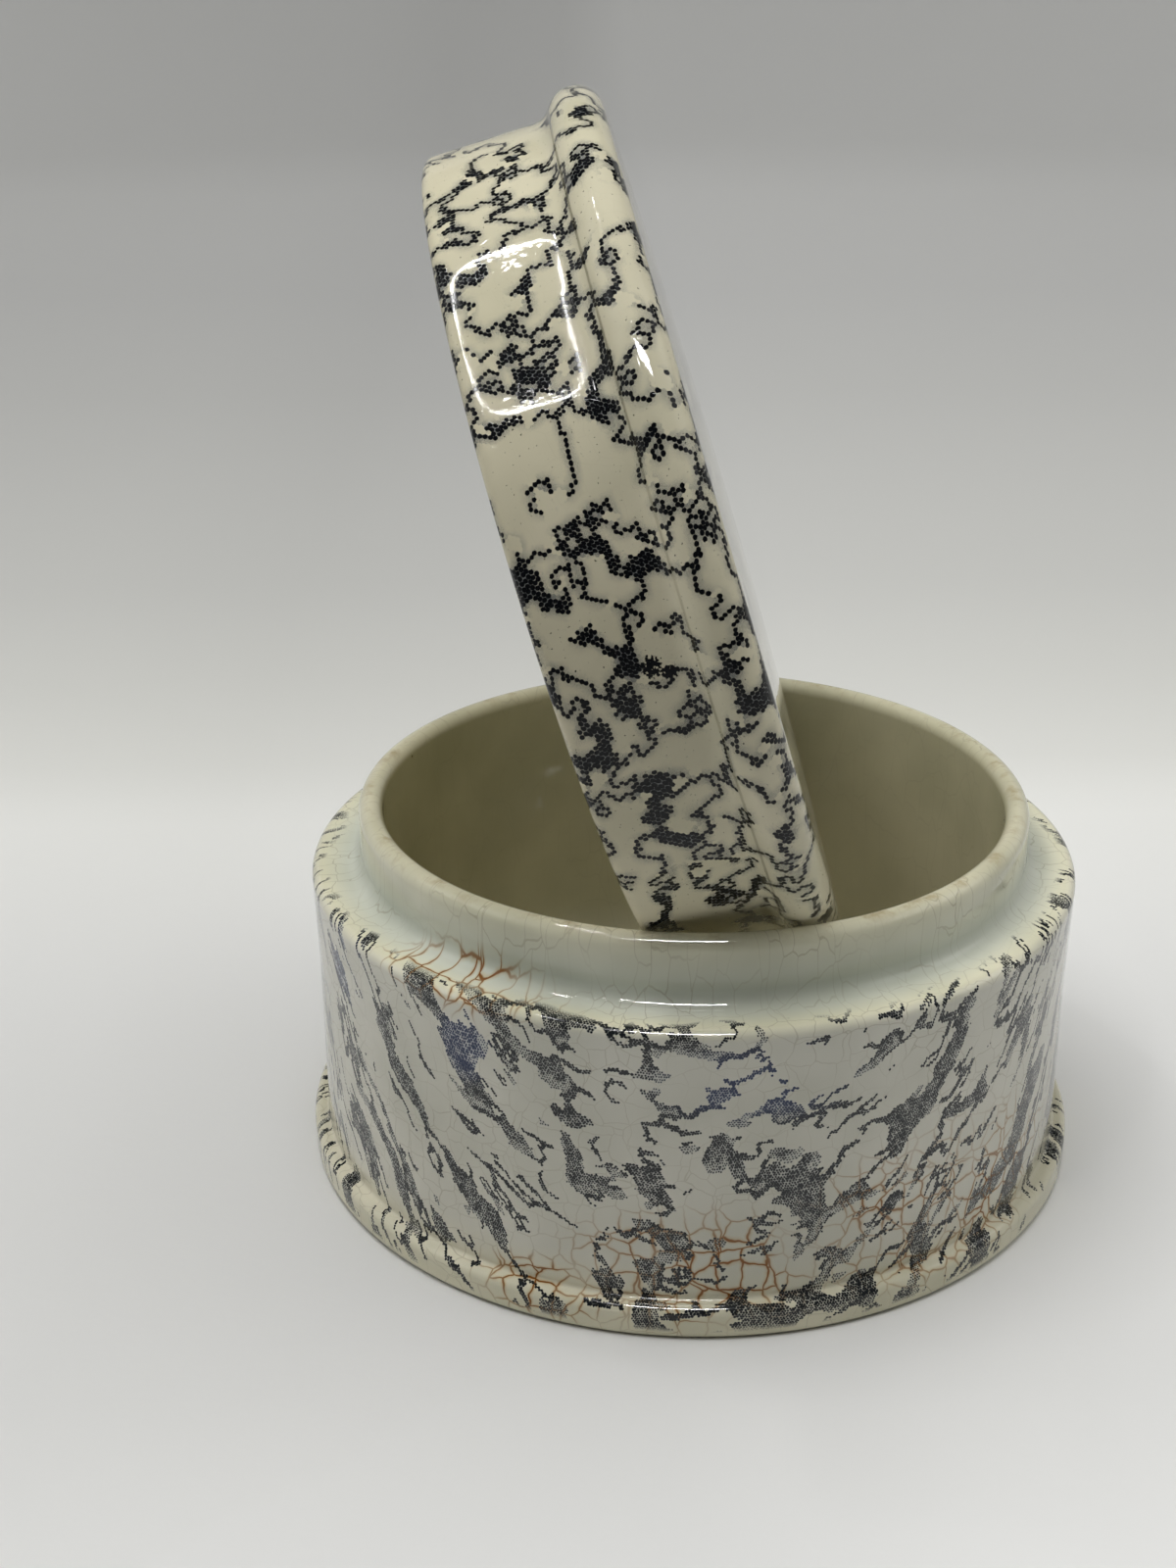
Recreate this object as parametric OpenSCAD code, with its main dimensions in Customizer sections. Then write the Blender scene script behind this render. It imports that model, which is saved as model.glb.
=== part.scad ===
// Glazed earthenware toothpaste pot with its loose lid stood on edge in the mouth.
// The origin is the middle of the pot's base on the surface that it stands on, with Z up.
// The lid faces +X and leans back towards -X. Both edges of its cap bear on the mouth, and it touches nothing else.

/* [Pot body] */
// Radius of the pot's straight wall
wall_r = 41.8; // [38:0.1:46]
// Height over which the wall swells to the shoulder
swell_h = 11; // [6:0.5:16]
// How far the shoulder's edge stands out past the wall
shoulder_step = 0.3; // [0:0.1:1]
// Height of the ledge that the lid seats on when the pot is closed
ledge_z = 34.3; // [28:0.1:42]
// Rounding of the shoulder's edge
shoulder_round = 1; // [0.5:0.1:2]
// Thickness of the pot's floor
floor_t = 4.2; // [3:0.1:6]
// Radius inside where the wall turns into the floor
floor_round = 7; // [3:0.5:12]

/* [Neck and mouth] */
// Width of the ledge, from the shoulder's edge to the neck
ledge_w = 5.4; // [4.4:0.1:7]
// Thickness of the neck and its round lip
lip_t = 2.6; // [2:0.1:3.2]
// Height of the neck above the ledge
neck_h = 7.1; // [4.5:0.1:10]
// Radius of the cove between the ledge and the neck
neck_cove = 1.6; // [0.8:0.1:2.4]

/* [Foot] */
// How far the foot flange stands out past the wall
foot_step = 1.65; // [1:0.05:3]
// Height of the foot flange
foot_h = 3.7; // [3:0.1:5]
// Rounding of the flange's upper and lower edges
foot_round = 0.95; // [0.5:0.05:1.4]
// Radius of the hollow under the pot
recess_r = 37.6; // [30:0.1:40]
// Depth of the hollow under the pot
recess_d = 1; // [0.5:0.1:2]

/* [Lid] */
// Play between the pot's neck and the skirt when the pot is closed
lid_play = 1.6; // [1:0.1:3]
// Thickness of the lid's skirt
skirt_t = 5; // [3.5:0.1:5.6]
// Rounding of the skirt's open edge
skirt_round = 1.1; // [0.5:0.1:1.6]
// How far the bead stands out past the skirt
bead_step = 2.4; // [1.5:0.1:3]
// Radius of the bead's round section
bead_round = 2.9; // [2:0.1:3.2]
// Height of the bead's middle above the open edge
bead_z = 15.9; // [13:0.1:20]
// Radius of the cove between the skirt and the bead
lid_cove = 2.4; // [1.6:0.1:3.2]
// Thickness of the lid's top at its rim
top_t = 4.2; // [3:0.1:5.5]
// How far the top rises from the bead to its middle
top_crown = 0.9; // [0.3:0.1:1.5]
// Radius inside where the skirt turns into the top
lid_inner_round = 3.5; // [2:0.5:6]

/* [Lid on edge] */
// Lean of the lid back from upright, in degrees
lean = 16.8; // [10:0.1:24]
// Gap left between the lid's two edges and the mouth, measured level
stand_gap = 0.35; // [0.25:0.01:0.6]

/* [Hidden] */

// Facets of a full turn and of a small round, and steps of the lid's crown
TURN = 180;
ROUND = 64;
CROWN_STEPS = 6;
// Tiny overlap that joins neighbouring shapes
LAP = 0.05;

shoulder_r = wall_r + shoulder_step;
foot_r = wall_r + foot_step;
neck_r = shoulder_r - ledge_w;
mouth_r = neck_r - lip_t;
rim_z = ledge_z + neck_h;
lip_round = lip_t / 2;
hollow_corner_z = floor_t + floor_round;

lid_inner_r = neck_r + lid_play;
skirt_r = lid_inner_r + skirt_t;
bead_r = skirt_r + bead_step;
bead_middle_r = bead_r - bead_round;
lid_rim_h = bead_z + bead_round;
// Height at which the cove leaves the skirt, where its arc just meets the bead's
cove_span = lid_cove + bead_round;
cove_z = bead_z - sqrt(cove_span ^ 2 - (cove_span - bead_step) ^ 2);

// Where the lid's edges bear on the rounded lip, from the slope that the lid's outline has there
bear_angle = atan(sqrt(bead_r ^ 2 - mouth_r ^ 2) / (mouth_r * cos(lean) ^ 2));
bear_r = mouth_r + lip_round * (1 - cos(bear_angle)) - stand_gap;
bear_z = rim_z - lip_round * (1 - sin(bear_angle));
// The place of the bead's middle plane, with the skirt's edge and the bead both on the bearing circle
edge_run = bead_z - skirt_round;
stand_x = cos(lean) * (edge_run ^ 2 + skirt_r ^ 2 - bead_r ^ 2) / (2 * edge_run);
stand_z = bear_z + stand_x * tan(lean) + sqrt((stand_x / cos(lean)) ^ 2 + bead_r ^ 2 - bear_r ^ 2);

// Half-section of the foot flange: a disc's edge with both corners rounded
module foot_section() {
    square([foot_r - foot_round, foot_h]);
    translate([0, foot_round]) square([foot_r, foot_h - 2 * foot_round]);
    for (z = [foot_round, foot_h - foot_round])
        translate([foot_r - foot_round, z]) circle(foot_round, $fn = ROUND);
}

// Half-section of the wall, which swells a little to the shoulder
module wall_section() {
    polygon([
        [0, 0],
        [wall_r, 0],
        [wall_r, ledge_z - swell_h],
        [shoulder_r, ledge_z - shoulder_round],
        [shoulder_r - shoulder_round, ledge_z - shoulder_round],
        [shoulder_r - shoulder_round, ledge_z],
        [0, ledge_z],
    ]);
    translate([shoulder_r - shoulder_round, ledge_z - shoulder_round])
        circle(shoulder_round, $fn = ROUND);
}

// Half-section of the neck with its round lip, and the cove that joins it to the ledge
module neck_section() {
    translate([mouth_r, ledge_z - LAP]) square([lip_t, neck_h - lip_round + LAP]);
    translate([mouth_r + lip_round, rim_z - lip_round]) circle(lip_round, $fn = ROUND);
    difference() {
        translate([neck_r - LAP, ledge_z - LAP]) square(neck_cove + LAP);
        translate([neck_r + neck_cove, ledge_z + neck_cove]) circle(neck_cove, $fn = ROUND);
    }
}

// Half-section of the space inside the pot, straight down from the mouth, up to the ledge
module pot_hollow_section() {
    translate([0, hollow_corner_z]) square([mouth_r, ledge_z + LAP - hollow_corner_z]);
    translate([0, floor_t]) square([mouth_r - floor_round, floor_round + LAP]);
    translate([mouth_r - floor_round, hollow_corner_z]) circle(floor_round, $fn = ROUND);
}

// The pot: one turned body with a foot flange, a ledge and a neck
module pot() {
    color("#d9d8cd")
        rotate_extrude($fn = TURN)
            union() {
                difference() {
                    union() {
                        foot_section();
                        wall_section();
                    }
                    pot_hollow_section();
                    translate([0, -LAP]) square([recess_r, recess_d + LAP]);
                }
                neck_section();
            }
}

// Height of the lid's top at a radius: the crown falls away from the middle, slowly at first
function crown_z(r) = lid_rim_h + top_crown * (1 - (r / bead_middle_r) ^ 2);

// Half-section of the lid's core: straight skirt, flat rim and shallow crown, with its open edge at height 0
module lid_core_section() {
    crown_r = [for (i = [0:CROWN_STEPS]) bead_middle_r * (1 - i / CROWN_STEPS)];
    polygon(concat(
        [
            [0, 0],
            [skirt_r - skirt_round, 0],
            [skirt_r - skirt_round, skirt_round],
            [skirt_r, skirt_round],
            [skirt_r, cove_z],
            [bead_middle_r, bead_z],
        ],
        [for (r = crown_r) [r, crown_z(r)]]
    ));
}

// Half-section of the lid's solid outline: the core with its round edge, its bead and the cove under the bead
module lid_outline_section() {
    lid_core_section();
    translate([skirt_r - skirt_round, skirt_round]) circle(skirt_round, $fn = ROUND);
    translate([bead_middle_r, bead_z]) circle(bead_round, $fn = ROUND);
    difference() {
        polygon([
            [lid_inner_r, cove_z],
            [skirt_r + lid_cove, cove_z],
            [bead_middle_r, bead_z],
            [lid_inner_r, bead_z],
        ]);
        translate([skirt_r + lid_cove, cove_z]) circle(lid_cove, $fn = ROUND);
    }
}

// Half-section of the space inside the lid, open at height 0
module lid_hollow_section() {
    hollow_h = lid_rim_h - top_t;
    translate([0, -LAP]) square([lid_inner_r, hollow_h - lid_inner_round + LAP]);
    square([lid_inner_r - lid_inner_round, hollow_h]);
    translate([lid_inner_r - lid_inner_round, hollow_h - lid_inner_round])
        circle(lid_inner_round, $fn = ROUND);
}

// The lid in its own frame: a hollow cap with a straight skirt, a cove and a round bead
module lid_cap() {
    rotate_extrude($fn = TURN)
        difference() {
            lid_outline_section();
            lid_hollow_section();
        }
}

// The lid where it stands on edge, wedged in the pot's mouth
module lid() {
    color("#e9e5d2")
        translate([stand_x, 0, stand_z])
            rotate([0, 90 - lean, 0])
                translate([0, 0, -bead_z])
                    lid_cap();
}

pot();
lid();
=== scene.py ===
"""A glazed earthenware toothpaste pot with a sheet print, and its loose lid stood on edge in the mouth."""

import logging
import math
import random
from bisect import bisect_right
from dataclasses import dataclass, field
from enum import Enum

import bmesh
import bpy
from mathutils import Matrix, Vector


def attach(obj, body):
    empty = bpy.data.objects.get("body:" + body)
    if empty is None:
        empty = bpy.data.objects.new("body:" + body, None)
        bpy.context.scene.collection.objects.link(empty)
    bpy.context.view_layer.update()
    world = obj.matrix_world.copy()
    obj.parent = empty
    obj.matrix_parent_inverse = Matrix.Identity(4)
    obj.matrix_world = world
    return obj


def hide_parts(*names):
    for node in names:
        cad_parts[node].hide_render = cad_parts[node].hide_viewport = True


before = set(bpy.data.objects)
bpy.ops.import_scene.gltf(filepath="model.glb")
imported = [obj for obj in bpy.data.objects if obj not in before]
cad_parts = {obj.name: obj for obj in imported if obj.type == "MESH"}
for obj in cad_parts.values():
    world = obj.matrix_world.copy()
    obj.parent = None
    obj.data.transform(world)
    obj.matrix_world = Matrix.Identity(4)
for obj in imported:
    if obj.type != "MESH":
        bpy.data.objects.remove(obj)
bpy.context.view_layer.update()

log = logging.getLogger("toothpaste_pot")

# One millimetre in the scene's metres
MM = 0.001
FULL_TURN = 2 * math.pi
# Names of the print's UV map and of the distance along the outline, in millimetres
SHEET_MAP = "sheet"
ALONG = "along_mm"

# Distances under which two points are one: in millimetres on an outline, in metres in a mesh
SAME_POINT = 1e-6
SAME_VERTEX = 1e-7
# Shares of a spot's half-size at which it has faded out and at which it is full
SPOT_FADE = (1.1, 0.45)

Tree = bpy.types.NodeTree
Socket = bpy.types.NodeSocket
Node = bpy.types.Node
Value = Node | Socket | float
# Values and the hex colours that belong to them, in rising order
Tones = tuple[tuple[float, str], ...]


class Lay(Enum):
    """How a sheet of print is laid over a stretch of the form."""

    AROUND = "around"
    FLAT = "flat"


def linear(hex_code: str) -> tuple[float, float, float, float]:
    """Turn an sRGB hex colour into linear light.

    Args:
        hex_code: Six hex digits after a hash.

    Returns:
        Linear red, green, blue and an alpha of 1.
    """
    shares = [int(hex_code[i:i + 2], 16) / 255 for i in (1, 3, 5)]
    light = [s / 12.92 if s <= 0.04045 else ((s + 0.055) / 1.055) ** 2.4 for s in shares]
    return (*light, 1.0)


def result_of(node: Node) -> Socket:
    """Find the socket that carries a node's result.

    Args:
        node: Any shader node.

    Returns:
        The result in use of a mix or of vector maths, and otherwise the first output.
    """
    if node.bl_idname == "ShaderNodeMix":
        wanted = "Result_Color" if node.data_type == "RGBA" else "Result_Vector"
        return next(s for s in node.outputs if s.identifier == wanted)
    if node.bl_idname == "ShaderNodeVectorMath" and node.operation in ("LENGTH", "DISTANCE"):
        return node.outputs["Value"]
    return node.outputs[0]


def add(tree: Tree, kind: str, inputs: dict, stops: Tones = (), **settings) -> Node:
    """Add one node with its settings, values and links.

    Args:
        tree: Node tree that takes the node.
        kind: Node type without its ShaderNode prefix.
        inputs: A value, socket or node for each input, by name, index or identifier.
        stops: Positions and hex colours, for a colour ramp.
        settings: Properties of the node.

    Returns:
        The new node.
    """
    node = tree.nodes.new("ShaderNode" + kind)
    for name, value in settings.items():
        setattr(node, name, value)
    for name, value in inputs.items():
        by_identifier = [s for s in node.inputs if s.identifier == name]
        socket = by_identifier[0] if by_identifier else node.inputs[name]
        if isinstance(value, Node):
            value = result_of(value)
        if isinstance(value, Socket):
            tree.links.new(value, socket)
        else:
            socket.default_value = value
    if stops:
        elements = node.color_ramp.elements
        for _ in range(len(stops) - len(elements)):
            elements.new(1.0)
        for element, (position, hex_code) in zip(elements, stops):
            element.position = position
            element.color = linear(hex_code)
    return node


def maths(tree: Tree, operation: str, *values: Value, **settings) -> Node:
    """Add a maths node with its inputs in order."""
    return add(tree, "Math", dict(enumerate(values)), operation=operation, **settings)


def vectors(tree: Tree, operation: str, *values: Value | tuple) -> Node:
    """Add a vector maths node with its inputs in order."""
    return add(tree, "VectorMath", dict(enumerate(values)), operation=operation)


def remap(
    tree: Tree, value: Value, start: float, end: float, low: Value = 0.0, high: Value = 1.0, **settings
) -> Node:
    """Map the values from start to end onto those from low to high, and clamp them there."""
    return add(tree, "MapRange", {"Value": value, 1: start, 2: end, 3: low, 4: high}, **settings)


def noise(
    tree: Tree, at: Value, size: float, detail: float = 1.0, dimensions: str = "2D", roughness: float = 0.5
) -> Node:
    """Add soft noise at a place in metres, with waves of some mean size in millimetres."""
    inputs = {"Vector": at, "Scale": 1 / (size * MM), "Detail": detail, "Roughness": roughness}
    return add(tree, "TexNoise", inputs, noise_dimensions=dimensions)


def thrown(tree: Tree, at: Value, chance: Node, width: tuple[float, float, float]) -> Node:
    """Move a place at random, by a node with a random colour, within a width along each axis."""
    centred = vectors(tree, "SUBTRACT", chance.outputs["Color"], (0.5, 0.5, 0.5))
    return vectors(tree, "MULTIPLY_ADD", centred, width, at)


def toned(tree: Tree, value: Value, tones: Tones, unit: float = 1.0) -> Node:
    """Colour a value by the tones that belong to some values.

    Args:
        tree: Node tree that takes the nodes.
        value: The value.
        tones: Values and their hex colours, in rising order.
        unit: Unit in which the tones' values are given.

    Returns:
        Node with the colour.
    """
    low, high = tones[0][0], tones[-1][0]
    share = remap(tree, value, low * unit, high * unit)
    stops = tuple(((place - low) / (high - low), colour) for place, colour in tones)
    return add(tree, "ValToRGB", {0: share}, stops=stops)


def blend(tree: Tree, share: Value, under: Node | str, over: Node | str, blend_type: str = "MIX") -> Node:
    """Lay one colour over another.

    Args:
        tree: Node tree that takes the node.
        share: How much of the upper colour shows.
        under: Lower colour, as a node or a hex code.
        over: Upper colour, as a node or a hex code.
        blend_type: How they blend.

    Returns:
        Node with the blended colour.
    """
    lower, upper = (linear(colour) if isinstance(colour, str) else colour for colour in (under, over))
    inputs = {"Factor_Float": share, "A_Color": lower, "B_Color": upper}
    return add(tree, "Mix", inputs, data_type="RGBA", blend_type=blend_type)


@dataclass(frozen=True)
class Sheet:
    """One stretch of an outline that is covered by one sheet.

    Attributes:
        start: Distance along the outline at which the sheet starts, in millimetres.
        lay: How the sheet lies on the form.
        radius: Radius on which a sheet laid around is unrolled, in millimetres.
        shift: Shift of a flat sheet's place in the map, in millimetres.
    """

    start: float
    lay: Lay
    radius: float
    shift: float = 0.0


@dataclass
class Outline:
    """Half-section of a turned form, drawn point by point in millimetres."""

    step: float = 1.2
    margin: float = 0.06
    points: list[tuple[float, float]] = field(default_factory=list)
    sheets: list[Sheet] = field(default_factory=list)
    length: float = 0.0
    lengths: list[float] = field(default_factory=list)

    def point(self, r: float, z: float) -> None:
        """Put down the next point, unless the outline is there already.

        Args:
            r: Radius.
            z: Height.
        """
        if self.points:
            run = math.dist(self.points[-1], (r, z))
            if run < SAME_POINT:
                return
            self.length += run
        self.points.append((r, z))
        self.lengths.append(self.length)

    def cover(self, lay: Lay, radius: float = 0.0, shift: float = 0.0) -> None:
        """Start a new sheet where the outline now is."""
        self.sheets.append(Sheet(self.length, lay, radius, shift))

    def line(self, r: float, z: float) -> None:
        """Draw a straight run to a point, in short steps, with a narrow one at each end to keep it flat.

        Args:
            r: Radius of its end.
            z: Height of its end.
        """
        last_r, last_z = self.points[-1]
        run = math.dist((last_r, last_z), (r, z))
        count = max(1, math.ceil(run / self.step))
        shares = [i / count for i in range(1, count + 1)]
        if run > 4 * self.margin:
            shares = sorted([*shares, self.margin / run, 1 - self.margin / run])
        for share in shares:
            self.point(last_r + (r - last_r) * share, last_z + (z - last_z) * share)

    def arc(self, r: float, z: float, radius: float, start: float, end: float, steps: int) -> None:
        """Draw an arc.

        Args:
            r: Radius at which its middle lies.
            z: Height of its middle.
            radius: The arc's own radius.
            start: First angle from outward, in degrees.
            end: Last angle.
            steps: Number of steps.
        """
        for i in range(steps + 1):
            angle = math.radians(start + (end - start) * i / steps)
            self.point(r + radius * math.cos(angle), z + radius * math.sin(angle))

    def sheet_at(self, along: float) -> Sheet:
        """Find the sheet that covers some distance along the outline."""
        starts = [sheet.start for sheet in self.sheets]
        return self.sheets[max(0, bisect_right(starts, along) - 1)]


def unroll(form: bmesh.types.BMesh, outline: Outline, along: bmesh.types.BMLayerItem) -> None:
    """Give every face its place on the sheets, in metres, with the sheets' join at the back.

    Args:
        form: Turned body about the Z axis.
        outline: Outline that it was turned from.
        along: Layer with each vertex's distance along the outline.
    """
    places = form.loops.layers.uv.new(SHEET_MAP)
    for face in form.faces:
        middle = face.calc_center_median()
        middle_angle = math.atan2(middle.x, -middle.y)
        sheet = outline.sheet_at(sum(vert[along] for vert in face.verts) / len(face.verts))
        for corner in face.loops:
            co = corner.vert.co
            if sheet.lay is Lay.FLAT:
                corner[places].uv = (co.x + sheet.shift * MM, co.y)
                continue
            turn = math.atan2(co.x, -co.y) - middle_angle
            angle = middle_angle + (turn + math.pi) % FULL_TURN - math.pi
            corner[places].uv = (angle * sheet.radius * MM, corner.vert[along] * MM)


def turned(name: str, outline: Outline, steps: int, place: Matrix) -> bpy.types.Object:
    """Turn an outline into a closed body and put it in its place.

    Args:
        name: Name of the piece.
        outline: Half-section, from one pole to the other.
        steps: Facets of the full turn.
        place: Place of the turned body in the frame.

    Returns:
        The new object, at the origin, with its place in its mesh.
    """
    form = bmesh.new()
    along = form.verts.layers.float.new(ALONG)
    ring = []
    for (r, z), length in zip(outline.points, outline.lengths):
        vert = form.verts.new((r * MM, 0, z * MM))
        vert[along] = length
        ring.append(vert)
    edges = [form.edges.new(pair) for pair in zip(ring, ring[1:])]
    bmesh.ops.spin(
        form, geom=ring + edges, cent=(0, 0, 0), axis=(0, 0, 1), dvec=(0, 0, 0),
        angle=FULL_TURN, steps=steps, use_merge=True,
    )
    bmesh.ops.remove_doubles(form, verts=form.verts, dist=SAME_VERTEX)
    bmesh.ops.recalc_face_normals(form, faces=form.faces)
    unroll(form, outline, along)
    for face in form.faces:
        face.smooth = True
    form.transform(place)
    mesh = bpy.data.meshes.new(name)
    form.to_mesh(mesh)
    form.free()
    piece = bpy.data.objects.new(name, mesh)
    bpy.context.scene.collection.objects.link(piece)
    return piece


def new_material(name: str) -> bpy.types.Material:
    """Make a material with an empty node tree.

    Args:
        name: Name of the material.

    Returns:
        The new material.
    """
    material = bpy.data.materials.new(name)
    material.use_nodes = True
    material.node_tree.nodes.clear()
    return material


@dataclass(frozen=True)
class Spot:
    """A soft oval place on a sheet.

    Attributes:
        u: Its middle around the form, in millimetres from the front.
        along: Its middle along the outline, in millimetres.
        wide: Half its width.
        high: Half its height.
    """

    u: float
    along: float
    wide: float
    high: float


def near_spots(tree: Tree, at: Socket, spots: tuple[Spot, ...]) -> Node | float:
    """How deep inside the nearest of some spots a place is.

    Args:
        tree: Node tree of the finish.
        at: Place on the sheet, in metres.
        spots: The spots.

    Returns:
        Node that gives 1 in a spot's middle and 0 outside, or 0 where there are no spots.
    """
    deepest = 0.0
    for spot in spots:
        away = vectors(tree, "SUBTRACT", at, (spot.u * MM, spot.along * MM, 0.0))
        scaled = vectors(tree, "MULTIPLY", away, (1 / (spot.wide * MM), 1 / (spot.high * MM), 0.0))
        far = vectors(tree, "LENGTH", scaled)
        depth = remap(tree, far, *SPOT_FADE, interpolation_type="SMOOTHSTEP")
        deepest = maths(tree, "MAXIMUM", depth, deepest)
    return deepest


@dataclass(frozen=True)
class Craze:
    """Fine cracks in an old lead glaze, brown where dirt has soaked in.

    Attributes:
        cell: Mean distance between the first, long cracks, in millimetres.
        inner_cell: Mean distance between the later cracks that end on them, in millimetres.
        uneven: Unevenness of the first and of the later cracks, from 0 to 1.
        sway: Mean length and width of a crack's bends, in millimetres.
        line: Half-width of a clean crack, in millimetres.
        shown: How strongly the clean cracks show, where they are faintest and strongest.
        shown_noise: Patchy noise at which they are faintest and strongest.
        colour: Colour of the clean cracks.
        stain_line: Half-width of a stained crack and of its soft edge, in millimetres.
        stain_colour: Colour of the stained cracks.
        soaked: How far dirt has soaked in, where least and where most.
        soaked_noise: Patchy noise at which it has soaked in least and most.
        halo: Reach of the stain beside a crack, in millimetres, and how strong it is there.
        halo_colour: Colour that the stain gives the glaze beside a crack.
        upright_from: Distance along the outline from which the cracks run upright, in millimetres.
        upright: Share by which that distance counts from there on.
        quiet_from: Distance along the outline from which the clean cracks fade, in millimetres.
        quiet: Run over which they fade, in millimetres, and the share that still shows.
    """

    cell: float = 7.0
    inner_cell: float = 2.5
    uneven: tuple[float, float] = (0.8, 0.62)
    sway: tuple[float, float] = (3.0, 1.4)
    line: float = 0.032
    shown: tuple[float, float] = (0.07, 0.385)
    shown_noise: tuple[float, float] = (0.35, 0.65)
    colour: str = "#8E8468"
    stain_line: tuple[float, float] = (0.095, 0.04)
    stain_colour: str = "#7E4A12"
    soaked: tuple[float, float] = (0.25, 1.0)
    soaked_noise: tuple[float, float] = (0.38, 0.55)
    halo: tuple[float, float] = (0.4, 0.6)
    halo_colour: str = "#E8C47C"
    upright_from: float = 1000.0
    upright: float = 0.42
    quiet_from: float = 1000.0
    quiet: tuple[float, float] = (3.0, 0.25)

    def upright_sheet(self, tree: Tree, at: Socket) -> Node:
        """Squeeze the sheet where the cracks run upright.

        Args:
            tree: Node tree of the finish.
            at: Place on the sheet, in metres.

        Returns:
            Node with the squeezed place.
        """
        parts = add(tree, "SeparateXYZ", {0: at})
        beyond = maths(tree, "SUBTRACT", parts.outputs["Y"], self.upright_from * MM)
        excess = maths(tree, "MAXIMUM", beyond, 0.0)
        along = maths(tree, "MULTIPLY_ADD", excess, self.upright - 1, parts.outputs["Y"])
        return add(tree, "CombineXYZ", {0: parts.outputs["X"], 1: along})

    def distance(self, tree: Tree, at: Socket) -> Node:
        """Distance to the nearest crack, in millimetres.

        Args:
            tree: Node tree of the finish.
            at: Place on the sheet, in metres.

        Returns:
            Node with the distance.
        """
        flat = self.upright_sheet(tree, at)
        length, width = self.sway
        bent = thrown(tree, flat, noise(tree, flat, length, detail=2.0), (width * MM,) * 3)
        long_cell = {"Vector": bent, "Scale": 1 / (self.cell * MM), "Randomness": self.uneven[0]}
        first = add(tree, "TexVoronoi", long_cell, voronoi_dimensions="2D", feature="DISTANCE_TO_EDGE")
        owner = add(tree, "TexVoronoi", long_cell, voronoi_dimensions="2D")
        own_sheet = vectors(tree, "ADD", owner.outputs["Color"], bent)
        scale = 1 / (self.inner_cell * MM)
        short_cell = {"Vector": own_sheet, "Scale": scale, "Randomness": self.uneven[1]}
        later = add(tree, "TexVoronoi", short_cell, voronoi_dimensions="2D", feature="DISTANCE_TO_EDGE")
        to_first = maths(tree, "MULTIPLY", first, self.cell)
        to_later = maths(tree, "MULTIPLY", later, self.inner_cell)
        return maths(tree, "MINIMUM", to_first, to_later)


@dataclass(frozen=True)
class Specks:
    """Small burnt specks of iron in the clay.

    Attributes:
        spacing: Mean distance between specks, in millimetres.
        radius: Radius of the largest speck, in millimetres.
        share: Share of the places that hold a speck.
        soft: Width of a speck's soft edge, as a share of the spacing.
        colour: Colour of the specks.
    """

    spacing: float = 4.5
    radius: float = 0.2
    share: float = 0.5
    soft: float = 0.02
    colour: str = "#4A3A28"

    def mask(self, tree: Tree, at: Socket) -> Node:
        """Where specks are.

        Args:
            tree: Node tree of the finish.
            at: Place, in metres.

        Returns:
            Node that gives 1 inside a speck.
        """
        cells = add(tree, "TexVoronoi", {"Vector": at, "Scale": 1 / (self.spacing * MM)})
        chance = add(tree, "SeparateColor", {0: cells.outputs["Color"]})
        size = remap(tree, chance, 1 - self.share, 1.0, 0.0, self.radius / self.spacing)
        edge = maths(tree, "SUBTRACT", size, cells.outputs["Distance"])
        return remap(tree, edge, 0.0, self.soft)


@dataclass(frozen=True)
class Dots:
    """Dots in staggered rows, each a little off its place.

    Attributes:
        spacing: Distance between dots, in millimetres.
        stray: Largest shift of a dot from its place, as a share of that distance.
        bend: Mean length and width of the rows' bends, in millimetres.
    """

    spacing: float
    stray: float = 0.16
    bend: tuple[float, float] = (11.0, 2.4)

    def bent(self, tree: Tree, at: Socket) -> Node:
        """Bend the sheet a little, so that no row of dots runs straight."""
        length, width = self.bend
        return thrown(tree, at, noise(tree, at, length), (width * MM, width * MM, 0.0))

    def nearest(self, tree: Tree, at: Node) -> tuple[Node, Node]:
        """Find the nearest dot.

        Args:
            tree: Node tree of the finish.
            at: Bent place on the sheet, in metres.

        Returns:
            Node with that dot's place in its row, and node with the distance to the dot as a
            share of the spacing.
        """
        pair = (self.spacing * MM, self.spacing * MM * math.sqrt(3), 1.0)
        half = (pair[0] / 2, pair[1] / 2, 0.0)
        shifted = vectors(tree, "ADD", at, half)
        even = vectors(tree, "SNAP", shifted, pair)
        corner = vectors(tree, "SNAP", at, pair)
        odd = vectors(tree, "ADD", corner, half)
        reach = 2 * self.stray * self.spacing * MM
        gaps = []
        for place in (even, odd):
            chance = add(tree, "TexWhiteNoise", {"Vector": place}, noise_dimensions="2D")
            dot = thrown(tree, place, chance, (reach, reach, 0.0))
            gaps.append(vectors(tree, "DISTANCE", at, dot))
        is_odd = maths(tree, "LESS_THAN", gaps[1], gaps[0])
        choice = {"Factor_Float": is_odd, "A_Vector": even, "B_Vector": odd}
        place = add(tree, "Mix", choice, data_type="VECTOR")
        nearer = maths(tree, "MINIMUM", *gaps)
        return place, maths(tree, "MULTIPLY", nearer, 1 / (self.spacing * MM))


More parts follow.
